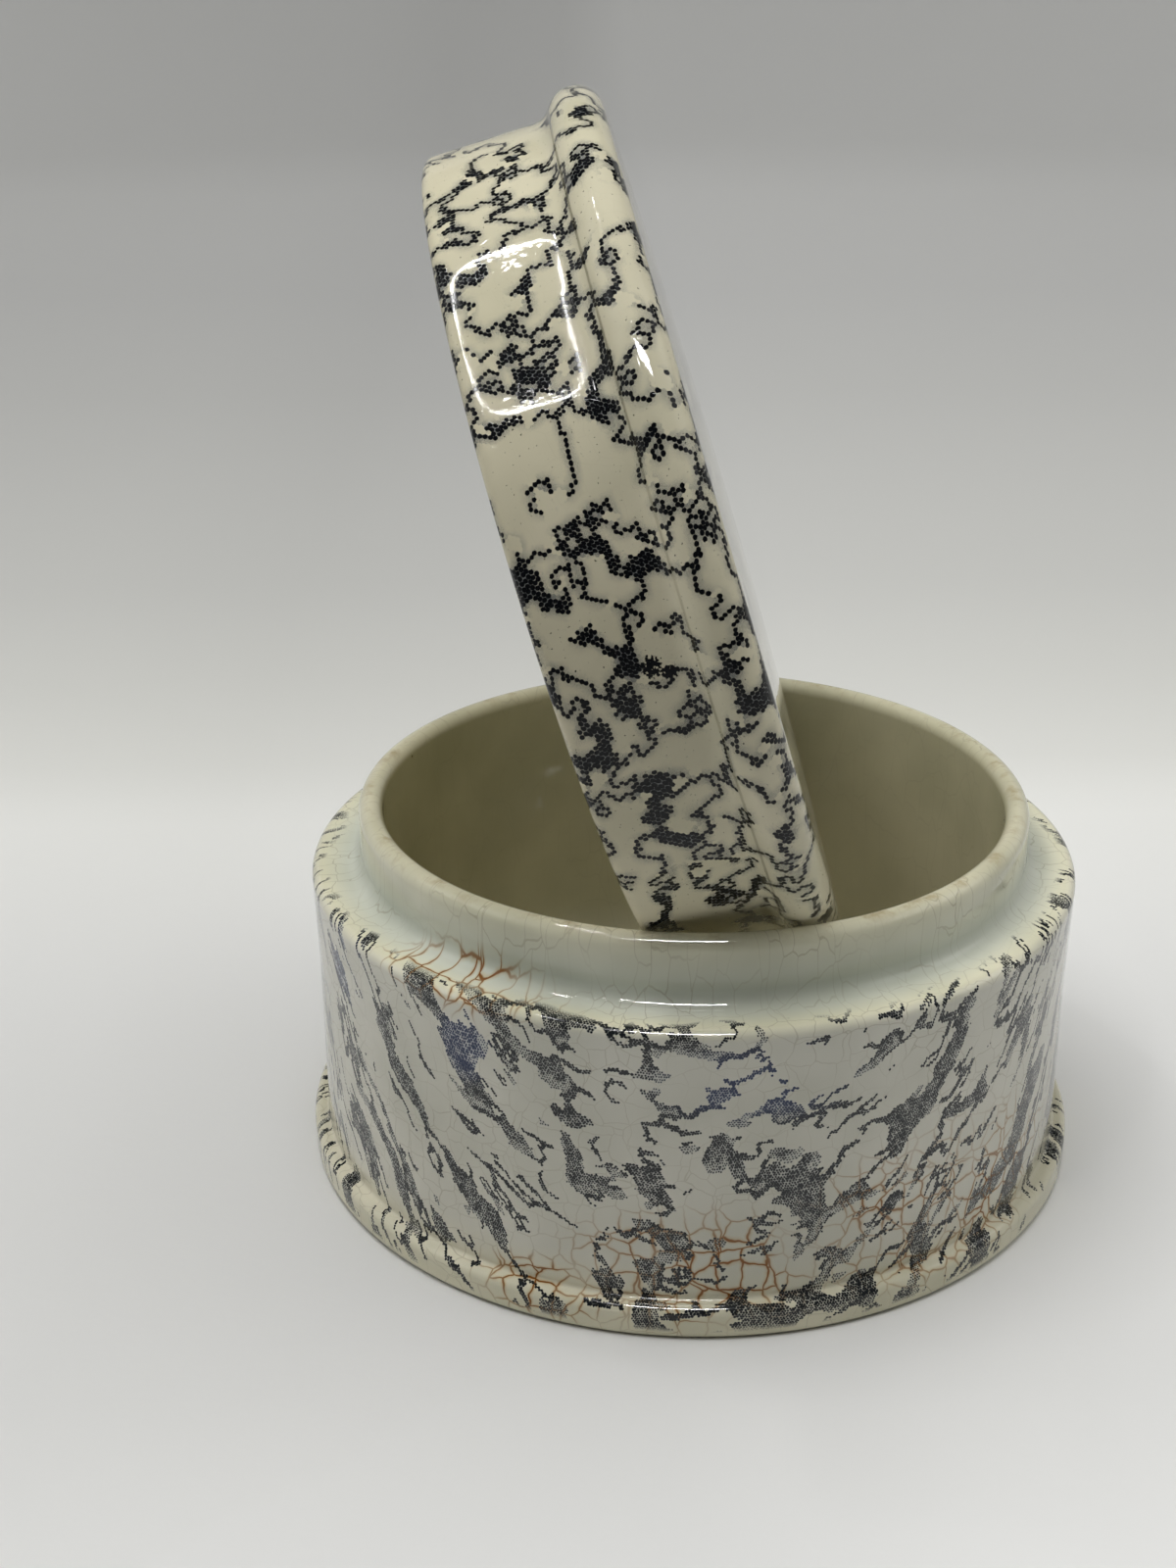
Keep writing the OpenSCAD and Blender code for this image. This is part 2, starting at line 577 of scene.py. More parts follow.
@dataclass(frozen=True)
class TornCells:
    """Coarse cells put together from shards, so that their borders zigzag.

    Attributes:
        wide: Mean width of a cell, in millimetres.
        high: Mean height of a cell, in millimetres.
        shard: Mean size of a shard as a share of a cell's.
        throw: How far from a shard its cell is looked up, as a share of a shard's size.
    """

    wide: float
    high: float
    shard: float
    throw: float

    def chance(self, tree: Tree, at: Node) -> Node:
        """Random numbers of the cell that holds a place.

        Args:
            tree: Node tree of the finish.
            at: Place on the sheet, in metres.

        Returns:
            Node whose outputs are three random numbers.
        """
        shares = (1 / (self.wide * self.shard * MM), 1 / (self.high * self.shard * MM), 0.0)
        scaled = vectors(tree, "MULTIPLY", at, shares)
        shards = add(tree, "TexVoronoi", {"Vector": scaled, "Scale": 1.0}, voronoi_dimensions="2D")
        looked_up = thrown(tree, shards.outputs["Position"], shards, (2 * self.throw,) * 3)
        cell = add(tree, "TexVoronoi", {"Vector": looked_up, "Scale": self.shard}, voronoi_dimensions="2D")
        return add(tree, "SeparateColor", {0: cell.outputs["Color"]})

    def contrast(self, tree: Tree, at: Node, reach: Node) -> tuple[Node, Node]:
        """How much the cells differ around a place. Above 0 only where a border runs through it.

        The cells are compared at three alternate corners of the six-sided field round a dot, so the
        dots that a border picks form a chain one dot wide, in which each dot touches the next.

        Args:
            tree: Node tree of the finish.
            at: Place on the sheet, in metres.
            reach: Distance at which the cells are compared, in metres.

        Returns:
            Node with the difference, and the node with the random numbers of one of the cells.
        """
        chances = []
        for degrees in (90, 210, 330):
            way = (math.cos(math.radians(degrees)), math.sin(math.radians(degrees)), 0.0)
            step = add(tree, "VectorMath", {0: way, "Scale": reach}, operation="SCALE")
            chances.append(self.chance(tree, vectors(tree, "ADD", at, step)))
        highest, lowest = chances[0], chances[0]
        for other in chances[1:]:
            highest = maths(tree, "MAXIMUM", highest, other)
            lowest = maths(tree, "MINIMUM", lowest, other)
        return maths(tree, "SUBTRACT", highest, lowest), chances[0]


@dataclass(frozen=True)
class MeanderPrint:
    """Black dots chained into jagged meanders and loops, with patches of packed dots.

    Attributes:
        dots: Rows of dots that the print is made of.
        radius: Radius of a dot as a share of the dots' distance.
        soft_edge: Half-width of a dot's soft edge, as such a share.
        loops: Loops that the chains follow.
        crowd_size: Mean distance between crowded places, in millimetres.
        crowd_noise: Noise at which a crowded place starts and is full.
        chain: Reach of a chain, as a share of the dots' distance to a corner of their fields.
        patch: Reach in the middle of a patch, in millimetres.
        open_size: Mean size of the open places, in millimetres.
        open_noise: Noise at which an open place ends and the chains are all there.
        bare: Least difference of two loops whose border is printed, in open places and elsewhere.
        bleed: Reach of the soft halo round the ink, in millimetres.
        smudges: Places where the ink was smudged.
        smear: How strongly a smudge fills, and noise at which its ink starts and is full.
        grain: Mean size of a smudge's grain, in millimetres.
    """

    dots: Dots = Dots(spacing=0.46, stray=0.13)
    radius: float = 0.52
    soft_edge: float = 0.06
    loops: TornCells = TornCells(wide=5.0, high=4.6, shard=0.25, throw=0.9)
    crowd_size: float = 5.0
    crowd_noise: tuple[float, float] = (0.54, 0.68)
    chain: float = 1.06
    patch: float = 1.1
    open_size: float = 2.8
    open_noise: tuple[float, float] = (0.29, 0.38)
    bare: tuple[float, float] = (0.7, 0.1)
    bleed: float = 0.65
    smudges: tuple[Spot, ...] = ()
    smear: tuple[float, float, float] = (0.42, 0.74, 0.80)
    grain: float = 0.35

    def soft(self, tree: Tree, at: Node, reach: Node, least: Node) -> Node:
        """Find the blurred chains. Each look-up is thrown a little at random, which softens the edge.

        Args:
            tree: Node tree of the finish.
            at: Bent place on the sheet, in metres.
            reach: Distance at which the cells are compared, in metres.
            least: Least difference of two loops whose border is printed.

        Returns:
            Node that gives 1 where the ink bled.
        """
        chance = add(tree, "TexWhiteNoise", {"Vector": at}, noise_dimensions="2D")
        width = 2 * self.bleed * MM
        contrast, _ = self.loops.contrast(tree, thrown(tree, at, chance, (width, width, 0.0)), reach)
        return maths(tree, "GREATER_THAN", contrast, least)

    def blot(self, tree: Tree, at: Socket) -> Node:
        """Find the smudged ink, which is grainy.

        Args:
            tree: Node tree of the finish.
            at: Place on the sheet, in metres.

        Returns:
            Node that gives 1 where the ink lies.
        """
        fill, start, end = self.smear
        smudge = near_spots(tree, at, self.smudges)
        grainy = maths(tree, "MULTIPLY_ADD", smudge, fill, noise(tree, at, self.grain, detail=2.0))
        return remap(tree, grainy, start, end)

    def ink(self, tree: Tree, at: Socket) -> tuple[Node, Node]:
        """Where the print's ink lies.

        Args:
            tree: Node tree of the finish.
            at: Place on the sheet, in metres.

        Returns:
            Nodes with the ink of the dots and with its soft halo.
        """
        bent = self.dots.bent(tree, at)
        place, gap = self.dots.nearest(tree, bent)
        corner = self.dots.spacing * MM / math.sqrt(3)
        crowded = noise(tree, place, self.crowd_size)
        reach = remap(tree, crowded, *self.crowd_noise, corner * self.chain, self.patch * MM)
        least = remap(tree, noise(tree, place, self.open_size), *self.open_noise, *self.bare)
        contrast, _ = self.loops.contrast(tree, place, reach)
        chosen = maths(tree, "GREATER_THAN", contrast, least)
        inside = remap(tree, gap, self.radius + self.soft_edge, self.radius - self.soft_edge)
        dotted = maths(tree, "MULTIPLY", inside, chosen)
        ink = maths(tree, "MAXIMUM", dotted, self.blot(tree, at))
        return ink, self.soft(tree, bent, reach, least)


@dataclass(frozen=True)
class StipplePrint:
    """Fine dark-grey stipple in slanting torn patches, joined by branching veins.

    Attributes:
        dots: Rows of dots that the print is made of.
        slant: How strongly the patches slant towards the sides, in millimetres.
        wall: Radius on which the sheet was unrolled, in millimetres.
        cells: Torn cells, some of which are filled and some of whose borders are veins.
        stream_size: Mean size of the dense and sparse places, in millimetres.
        stream_noise: Noise at which the print starts to be dense and is fully so.
        filled: Least random number of a filled cell, where the print is sparse and where it is dense.
        edge: Shift at which a patch is looked at again to thin out one of its sides, in millimetres.
        patch_radii: Radii of a dot in a patch's thin side and elsewhere, as shares of the dots' distance.
        fray_size: Mean size of the places where veins differ, in millimetres.
        fading_noise: Noise at which veins start to show and are all there.
        vein: Least difference of two cells whose border is a vein, where veins fade and elsewhere.
        broad_noise: Noise at which veins start to broaden and are broadest.
        vein_reach: Half-width of the thinnest and of the broadest veins, as a share of the dots' distance.
        vein_radius: Radius of a dot in a vein, as such a share.
        press_size: Mean size of the places where the print is pressed unevenly, in millimetres.
        press_noise: Noise at which the press is least and most.
        press: Least and most share to which the press spreads a dot.
        gathers: Distances along the outline at which the sheet gathered and printed darker.
        gather: Reach of such a gather, in millimetres.
        gather_fill: Change of the least random number of a filled cell in a gather.
        gather_press: Change of the press in a gather.
        soft_edge: Where a dot's soft edge starts and ends, as shares of the dots' distance.
        bleed: Radius of the halo round a dot, as a share of the dot's.
    """

    dots: Dots = Dots(spacing=0.28, stray=0.2)
    slant: float = 62.0
    wall: float = 41.8
    cells: TornCells = TornCells(wide=5.2, high=2.9, shard=0.34, throw=0.62)
    stream_size: float = 7.0
    stream_noise: tuple[float, float] = (0.42, 0.58)
    filled: tuple[float, float] = (1.1, 0.42)
    edge: tuple[float, float] = (0.8, -0.6)
    patch_radii: tuple[float, float] = (0.33, 0.47)
    fray_size: float = 5.5
    fading_noise: tuple[float, float] = (0.42, 0.52)
    vein: tuple[float, float] = (1.0, 0.14)
    broad_noise: tuple[float, float] = (0.5, 0.68)
    vein_reach: tuple[float, float] = (0.7, 1.5)
    vein_radius: float = 0.56
    press_size: float = 1.1
    press_noise: tuple[float, float] = (0.3, 0.7)
    press: tuple[float, float] = (0.84, 1.16)
    gathers: tuple[float, ...] = ()
    gather: float = 1.8
    gather_fill: float = -0.04
    gather_press: float = 0.12
    soft_edge: tuple[float, float] = (-0.06, 0.09)
    bleed: float = 1.6

    def gathered(self, tree: Tree, at: Node) -> Node | float:
        """How strongly the sheet gathered at a place, from 0 to 1.

        Args:
            tree: Node tree of the finish.
            at: Place on the sheet, in metres.

        Returns:
            Node with the strength, or 0 where the sheet has no gathers.
        """
        most = 0.0
        along = add(tree, "SeparateXYZ", {0: at}).outputs["Y"]
        for place in self.gathers:
            far = maths(tree, "ABSOLUTE", maths(tree, "SUBTRACT", along, place * MM))
            near = remap(tree, far, self.gather * MM, 0.0)
            most = maths(tree, "MAXIMUM", near, most)
        return most

    def slanted(self, tree: Tree, at: Node) -> Node:
        """Slide the sheet up towards the sides, so that patches slant away from the front.

        Args:
            tree: Node tree of the finish.
            at: Place on the sheet, in metres.

        Returns:
            Node with the slid place.
        """
        parts = add(tree, "SeparateXYZ", {0: at})
        angle = maths(tree, "MULTIPLY", parts.outputs["X"], 1 / (self.wall * MM))
        cosine = maths(tree, "COSINE", angle)
        slid = maths(tree, "MULTIPLY_ADD", cosine, self.slant * MM, parts.outputs["Y"])
        return add(tree, "CombineXYZ", {0: parts.outputs["X"], 1: slid})

    def ink(self, tree: Tree, at: Socket) -> tuple[Node, Node]:
        """Where the print's ink lies.

        Args:
            tree: Node tree of the finish.
            at: Place on the sheet, in metres.

        Returns:
            Nodes with the ink of the dots and with its soft halo.
        """
        place, gap = self.dots.nearest(tree, self.dots.bent(tree, at))
        torn = self.slanted(tree, place)
        gathered = self.gathered(tree, place)
        fray = noise(tree, torn, self.fray_size)
        narrow, broad = (share * self.dots.spacing * MM for share in self.vein_reach)
        reach = remap(tree, fray, *self.broad_noise, narrow, broad)
        contrast, chances = self.cells.contrast(tree, torn, reach)
        is_vein = maths(tree, "GREATER_THAN", contrast, remap(tree, fray, *self.fading_noise, *self.vein))
        vein_radius = maths(tree, "MULTIPLY", is_vein, self.vein_radius)

        least = remap(tree, noise(tree, torn, self.stream_size), *self.stream_noise, *self.filled)
        least = maths(tree, "MULTIPLY_ADD", gathered, self.gather_fill, least)
        beside = vectors(tree, "ADD", torn, (self.edge[0] * MM, self.edge[1] * MM, 0.0))
        again = self.cells.chance(tree, beside)
        is_filled = maths(tree, "GREATER_THAN", chances.outputs["Green"], least)
        is_deep = maths(tree, "GREATER_THAN", again.outputs["Green"], least)
        size = remap(tree, is_deep, 0.0, 1.0, *self.patch_radii)
        patch_radius = maths(tree, "MULTIPLY", is_filled, size)

        press = remap(tree, noise(tree, place, self.press_size), *self.press_noise, *self.press)
        press = maths(tree, "MULTIPLY_ADD", gathered, self.gather_press, press)
        radius = maths(tree, "MULTIPLY", maths(tree, "MAXIMUM", patch_radius, vein_radius), press)
        ink = remap(tree, maths(tree, "SUBTRACT", radius, gap), *self.soft_edge)
        return ink, maths(tree, "MULTIPLY", radius, self.bleed)


@dataclass(frozen=True)
class Place:
    """Where a shaded point lies, as sockets and nodes of a finish's node tree.

    Attributes:
        sheet: Place on the sheet of print, in metres.
        along: Distance along the outline, in millimetres.
        space: Place in space, in metres.
        patchy: Soft noise in space, from 0 to 1.
    """

    sheet: Socket
    along: Socket
    space: Socket
    patchy: Node


@dataclass(frozen=True)
class PrintedGlaze:
    """Earthenware printed from an inked sheet and dipped in clear lead glaze.

    The eye sees a pale clay ground that changes tone with the glaze's thickness, dark dots
    just under a wet-looking surface, and cracks that catch dirt.

    Attributes:
        name: Name of the material.
        print_kind: Print under the glaze.
        ground: Stops of the ground's colour along the outline, in millimetres, holding painted shade on
            the pot's inside.
        print_from: Where the print starts along the outline, in millimetres.
        print_to: Where it ends.
        print_fray: How far the print's end wavers, in millimetres.
        print_fade: Run of its soft start, and where past its end it has faded out and is full.
        ink: Colour of the ink.
        halo_colour: Colour that bleeds from the ink into the glaze.
        halo_strength: Strength of that bleed.
        stains: Places where the cracks are stained brown.
        blues: Places where the ink has a blue cast.
        blue_ink: Colour of the ink there.
        blue_halo: Colour that bleeds from it.
        pool_size: Mean size of the places where the glaze pooled, in millimetres.
        pool_noise: Noise at which the glaze starts to be thick and is thickest.
        pool_colour: Tint of the thick glaze.
        pool_most: Strength of that tint.
        worn: Stretch along the outline that is rubbed, as a start and an end.
        worn_size: Mean size of the rubbed places, in millimetres.
        worn_roughness: Roughness of the noise that places them.
        worn_noise: Noise at which such a place starts and is full.
        worn_colour: Colour of the rubbed clay.
        worn_most: Strength of that colour.
        patch_size: Mean size of the patches in which cracks and stains differ, in millimetres.
        craze: The cracks.
        specks: Iron specks in the clay.
        wave: Mean size of the waves in the glaze, in millimetres.
        relief: Height of the ink and of the cracks, as shares of those waves' height.
        height: Height of the waves, in metres.
        roughness: Roughness of the glaze.
        gloss: Strength of its mirroring, where 0.5 is that of clean glass.
        ior: How strongly it bends light.
    """

    name: str
    print_kind: MeanderPrint | StipplePrint
    ground: Tones
    print_from: float
    print_to: float
    ink: str
    halo_colour: str
    halo_strength: float
    print_fray: float = 5.0
    print_fade: tuple[float, float, float] = (0.6, 3.5, 2.5)
    stains: tuple[Spot, ...] = ()
    blues: tuple[Spot, ...] = ()
    blue_ink: str = "#263250"
    blue_halo: str = "#6A7BA2"
    pool_size: float = 14.0
    pool_noise: tuple[float, float] = (0.35, 0.65)
    pool_colour: str = "#C9CCC3"
    pool_most: float = 0.4
    worn: tuple[float, float] = (0.0, 0.0)
    worn_size: float = 3.0
    worn_roughness: float = 0.65
    worn_noise: tuple[float, float] = (0.5, 0.68)
    worn_colour: str = "#A08A5E"
    worn_most: float = 0.65
    patch_size: float = 9.0
    craze: Craze = Craze()
    specks: Specks = Specks()
    wave: float = 5.0
    relief: tuple[float, float] = (0.12, -0.2)
    height: float = 0.000008
    roughness: float = 0.03
    gloss: float = 0.4
    ior: float = 1.52

    def clay(self, tree: Tree, place: Place) -> Node:
        """Colour the clay by its ground's stops, which darken as painted shade on the pot's inside, by the
        thickness of its glaze and by its wear.

        Args:
            tree: Node tree of the finish.
            place: Where the point lies.

        Returns:
            Node with the colour.
        """
        pool = noise(tree, place.space, self.pool_size, detail=3.0, dimensions="3D")
        thick = remap(tree, pool, *self.pool_noise, 0.0, self.pool_most)
        colour = blend(tree, thick, toned(tree, place.along, self.ground), self.pool_colour, "MULTIPLY")
        rubbed = noise(tree, place.space, self.worn_size, 4.0, "3D", self.worn_roughness)
        rub = remap(tree, rubbed, *self.worn_noise, 0.0, self.worn_most)
        middle = sum(self.worn) / 2
        rising, falling = (remap(tree, place.along, end, middle) for end in self.worn)
        band = maths(tree, "MULTIPLY", rising, falling)
        return blend(tree, maths(tree, "MULTIPLY", band, rub), colour, self.worn_colour)

    def clean_cracks(self, tree: Tree, place: Place, crack: Node, under: Node) -> Node:
        """Draw the clean cracks, here stronger and there weaker.

        Args:
            tree: Node tree of the finish.
            place: Where the point lies.
            crack: Node that gives 1 in a crack.
            under: Colour under them.

        Returns:
            Node with the colour.
        """
        faint = remap(tree, place.patchy, *self.craze.shown_noise, *self.craze.shown)
        start = self.craze.quiet_from
        run, left = self.craze.quiet
        quiet = remap(tree, place.along, start, start + run, 1.0, left)
        shown = maths(tree, "MULTIPLY", faint, quiet)
        return blend(tree, maths(tree, "MULTIPLY", crack, shown), under, self.craze.colour)

    def printed(self, tree: Tree, place: Place, under: Node) -> tuple[Node, Node]:
        """Lay the print over the ground.

        Args:
            tree: Node tree of the finish.
            place: Where the point lies.
            under: Colour of the ground.

        Returns:
            Node with the colour, and node that gives 1 in the ink.
        """
        start, gone, full = self.print_fade
        starts = remap(tree, place.along, self.print_from, self.print_from + start)
        ragged = maths(tree, "MULTIPLY_ADD", place.patchy, self.print_fray, place.along)
        ends = remap(tree, ragged, self.print_to + gone, self.print_to + full)
        allowed = maths(tree, "MULTIPLY", starts, ends)
        parts = self.print_kind.ink(tree, place.sheet)
        ink, halo = (maths(tree, "MULTIPLY", part, allowed) for part in parts)
        bled = maths(tree, "MULTIPLY", halo, self.halo_strength, use_clamp=True)
        blue = near_spots(tree, place.sheet, self.blues)
        colour = blend(tree, bled, under, blend(tree, blue, self.halo_colour, self.blue_halo))
        return blend(tree, ink, colour, blend(tree, blue, self.ink, self.blue_ink)), ink

    def stained_cracks(self, tree: Tree, place: Place, cracks: Node, ink: Node, under: Node) -> Node:
        """Draw the cracks that dirt has soaked into, with the stain beside them.

        Args:
            tree: Node tree of the finish.
            place: Where the point lies.
            cracks: Distance to the nearest crack, in millimetres.
            ink: Node that gives 1 in the ink, which hides the cracks.
            under: Colour under them.

        Returns:
            Node with the colour.
        """
        soaked = remap(tree, place.patchy, *self.craze.soaked_noise, *self.craze.soaked)
        stain = maths(tree, "MULTIPLY", near_spots(tree, place.sheet, self.stains), soaked)
        reach, most = self.craze.halo
        beside = remap(tree, cracks, reach, 0.0, 0.0, most, interpolation_type="SMOOTHSTEP")
        glow = maths(tree, "MULTIPLY", beside, stain)
        colour = blend(tree, glow, under, self.craze.halo_colour, "MULTIPLY")
        line, soft = self.craze.stain_line
        core = remap(tree, cracks, line + soft, line - soft)
        bare_core = maths(tree, "MULTIPLY", core, maths(tree, "SUBTRACT", 1.0, ink))
        return blend(tree, maths(tree, "MULTIPLY", bare_core, stain), colour, self.craze.stain_colour)

    def make(self) -> bpy.types.Material:
        """Build the material.

        Returns:
            The material, which reads the sheet map and the distance along the outline.
        """
        material = new_material(self.name)
        tree = material.node_tree
        space = add(tree, "TexCoord", {}).outputs["Object"]
        place = Place(
            sheet=add(tree, "UVMap", {}, uv_map=SHEET_MAP).outputs[0],
            along=add(tree, "Attribute", {}, attribute_name=ALONG).outputs["Fac"],
            space=space,
            patchy=noise(tree, space, self.patch_size, dimensions="3D"),
        )
        cracks = self.craze.distance(tree, place.sheet)
        crack = remap(tree, cracks, self.craze.line * 2, self.craze.line)
        colour = self.clean_cracks(tree, place, crack, self.clay(tree, place))
        colour, ink = self.printed(tree, place, colour)
        if self.stains:
            colour = self.stained_cracks(tree, place, cracks, ink, colour)
        colour = blend(tree, self.specks.mask(tree, space), colour, self.specks.colour)

        wave = noise(tree, space, self.wave, dimensions="3D")
        raised = maths(tree, "MULTIPLY_ADD", ink, self.relief[0], wave)
        relief = maths(tree, "MULTIPLY_ADD", crack, self.relief[1], raised)
        bump = add(tree, "Bump", {"Strength": 1.0, "Distance": self.height, "Height": relief})
        inputs = {
            "Base Color": colour, "Roughness": self.roughness, "IOR": self.ior, "Normal": bump,
            "Specular IOR Level": self.gloss,
        }
        shader = add(tree, "BsdfPrincipled", inputs)
        add(tree, "OutputMaterial", {"Surface": shader})
        return material


@dataclass
class Pot:
    """The pot: foot flange, straight wall, shoulder, ledge, neck and round lip. Sizes in millimetres."""

    wall_r: float = 41.8
    shoulder_r: float = 42.1
    shoulder_round: float = 1.0
    swell_z: float = 23.3
    ledge_z: float = 34.3
    neck_r: float = 36.7
    neck_cove: float = 1.6
    mouth_r: float = 34.1
    rim_z: float = 41.4
    floor_z: float = 4.2
    floor_round: float = 7.0
    foot_r: float = 43.45
    foot_h: float = 3.7
    foot_round: float = 0.95
    recess_r: float = 37.6
    recess_d: float = 1.0
    corner: float = 0.35
    steps: int = 256

    def outline(self) -> Outline:
        """Draw the half-section.

        Returns:
            Outline from the middle of the underside round to the middle of the floor inside.
        """
        line = Outline()
        lip = (self.neck_r - self.mouth_r) / 2
        foot = self.foot_r - self.foot_round
        shoulder = self.shoulder_r - self.shoulder_round
        cove = self.neck_r + self.neck_cove
        floor = self.mouth_r - self.floor_round
        line.point(0, self.recess_d)
        line.cover(Lay.FLAT, shift=300)
        line.line(self.recess_r - self.corner, self.recess_d)
        line.arc(self.recess_r - self.corner, self.recess_d - self.corner, self.corner, 90, 0, steps=4)
        line.line(self.recess_r, 0)
        line.line(foot, 0)
        line.cover(Lay.AROUND, self.wall_r)
        line.arc(foot, self.foot_round, self.foot_round, -90, 0, steps=8)
        line.line(self.foot_r, self.foot_h - self.foot_round)
        line.arc(foot, self.foot_h - self.foot_round, self.foot_round, 0, 90, steps=8)
        line.arc(self.wall_r + self.corner, self.foot_h + self.corner, self.corner, 270, 180, steps=5)
        line.line(self.wall_r, self.swell_z)
        line.line(self.shoulder_r, self.ledge_z - self.shoulder_round)
        line.arc(shoulder, self.ledge_z - self.shoulder_round, self.shoulder_round, 0, 90, steps=10)
        line.line(cove, self.ledge_z)
        line.arc(cove, self.ledge_z + self.neck_cove, self.neck_cove, 270, 180, steps=10)
        line.line(self.neck_r, self.rim_z - lip)
        line.arc(self.mouth_r + lip, self.rim_z - lip, lip, 0, 180, steps=20)
        line.cover(Lay.AROUND, self.mouth_r)
        line.line(self.mouth_r, self.floor_z + self.floor_round)
        line.arc(floor, self.floor_z + self.floor_round, self.floor_round, 0, -90, steps=12)
        line.cover(Lay.FLAT, shift=400)
        line.line(0, self.floor_z)
        return line

    def build(self) -> bpy.types.Object:
        """Build and dress the pot.

        Returns:
            The pot's object.
        """
        outline = self.outline()
        places = self.marks(outline)
        log.info("pot outline: %s", {k: round(v, 1) for k, v in places.items()})
        piece = turned("pot_body", outline, self.steps, Matrix.Identity(4))
        low_wall = places["wall"]
        cove = places["cove"]
        finish = PrintedGlaze(
            name="lead_glaze_over_stipple_printed_earthenware",
            print_kind=StipplePrint(gathers=(places["groove"],)),
            ground=(
                (0.0, "#BDB8A6"),
                (places["foot"], "#DBD6BC"),
                (low_wall, "#DCD7C2"),
                (low_wall + 4, "#D4D1C4"),
                (places["shoulder"], "#D4D2C6"),
                (places["ledge"], "#ECE8CC"),
                (cove, "#D8DACB"),
                (places["neck"], "#C8CDC1"),
                (places["lip"], "#DDD8BC"),
                # Painted shade: inside, the ground turns khaki and darkens towards the floor.
                (places["mouth"], "#D9D4B6"),
                (places["mouth"] + 14, "#D2CCAE"),
                (outline.length, "#CBC5A6"),
            ),
            print_from=places["foot"],
            print_to=places["ledge"] + 0.5,
            ink="#1C2023",
            halo_colour="#82888F",
            halo_strength=0.55,
            stains=(
                Spot(-2, low_wall + 3, 15, 8),
                Spot(25, low_wall + 6, 20, 10),
                Spot(-17, low_wall - 1, 9, 4),
                Spot(-28, cove - 1, 13, 5),
            ),
            blues=(
                Spot(4, low_wall + 24.5, 11, 5),
                Spot(-45, low_wall + 26, 6, 6),
                Spot(-26, low_wall + 25, 4, 5),
            ),
            worn=(places["lip"] - 1.6, places["lip"] + 1.6),
            craze=Craze(upright_from=cove, quiet_from=places["lip"]),
        )
        piece.data.materials.append(finish.make())
        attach(piece, "pot")
        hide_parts("pot")
        log.info("%s: %d faces", piece.name, len(piece.data.polygons))
        return piece

    def marks(self, outline: Outline) -> dict[str, float]:
        """Find the places at which the ground's colour changes.

        Args:
            outline: The pot's outline.

        Returns:
            The distance along the outline of each named place.
        """
        wanted = {
            "foot": (self.foot_r, self.foot_round),
            "groove": (self.wall_r + self.corner, self.foot_h),
            "wall": (self.wall_r, self.foot_h + self.corner),
            "shoulder": (self.shoulder_r, self.ledge_z - self.shoulder_round),
            "ledge": (self.shoulder_r - self.shoulder_round, self.ledge_z),
            "cove": (self.neck_r + self.neck_cove, self.ledge_z),
            "neck": (self.neck_r, self.ledge_z + self.neck_cove),
            "lip": ((self.neck_r + self.mouth_r) / 2, self.rim_z),
            "mouth": (self.mouth_r, self.rim_z - (self.neck_r - self.mouth_r)),
        }
        places = {}
        for name, spot in wanted.items():
            gaps = [math.dist(point, spot) for point in outline.points]
            places[name] = outline.lengths[gaps.index(min(gaps))]
        return places


